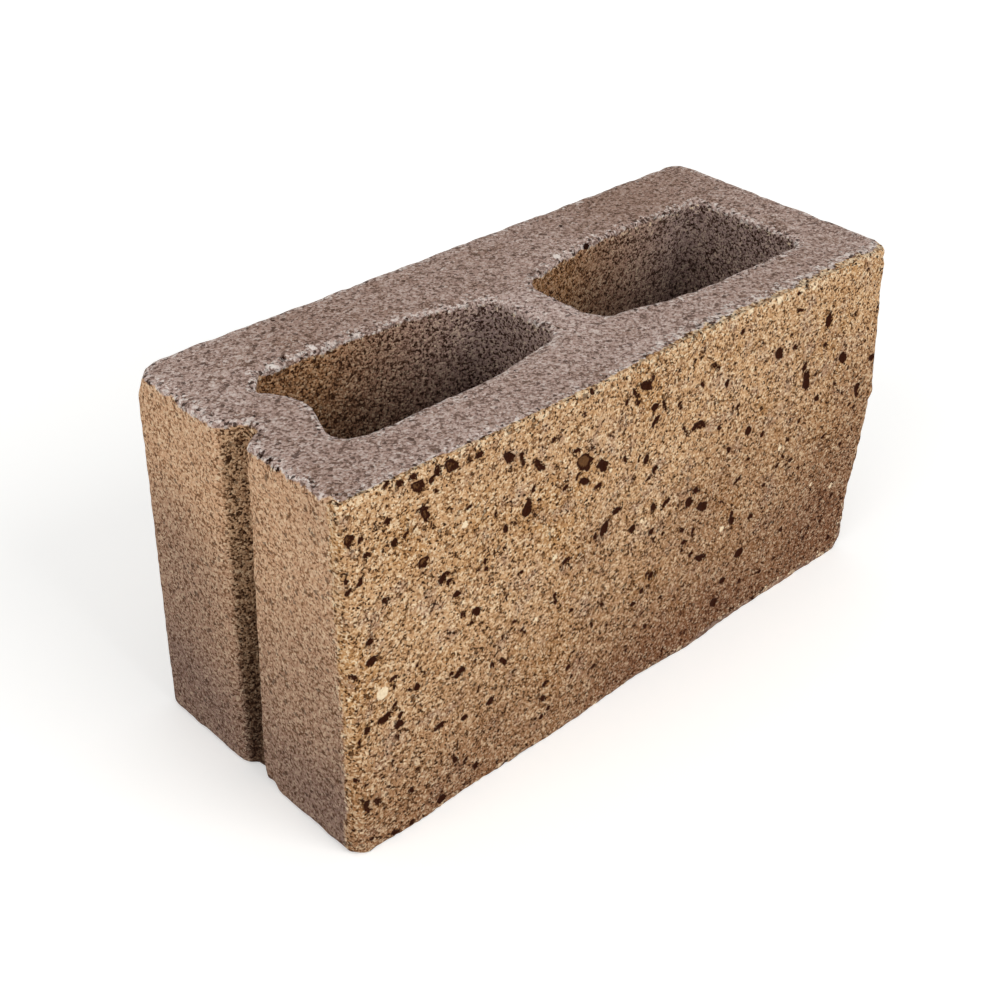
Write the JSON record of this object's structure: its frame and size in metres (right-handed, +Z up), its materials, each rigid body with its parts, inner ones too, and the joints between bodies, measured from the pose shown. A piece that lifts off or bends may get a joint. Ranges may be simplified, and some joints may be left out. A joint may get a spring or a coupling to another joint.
{
  "type": "split face concrete block",
  "caption": "Hollow concrete block with a rough split face, tapered cores open top and bottom, and a full-height sash groove in one end.",
  "frame": {"origin": "middle of the underside, as the block stands in a wall", "axes": "+X along the length, away from the grooved end; +Y from the split face to the back; +Z up through the cores"},
  "size_m": [0.371, 0.1515, 0.194],
  "materials": {
    "concrete": "rough buff concrete, sandy, with dark aggregate and small voids"
  },
  "bodies": {
    "root": {"block": "concrete"}
  },
  "joints": []
}
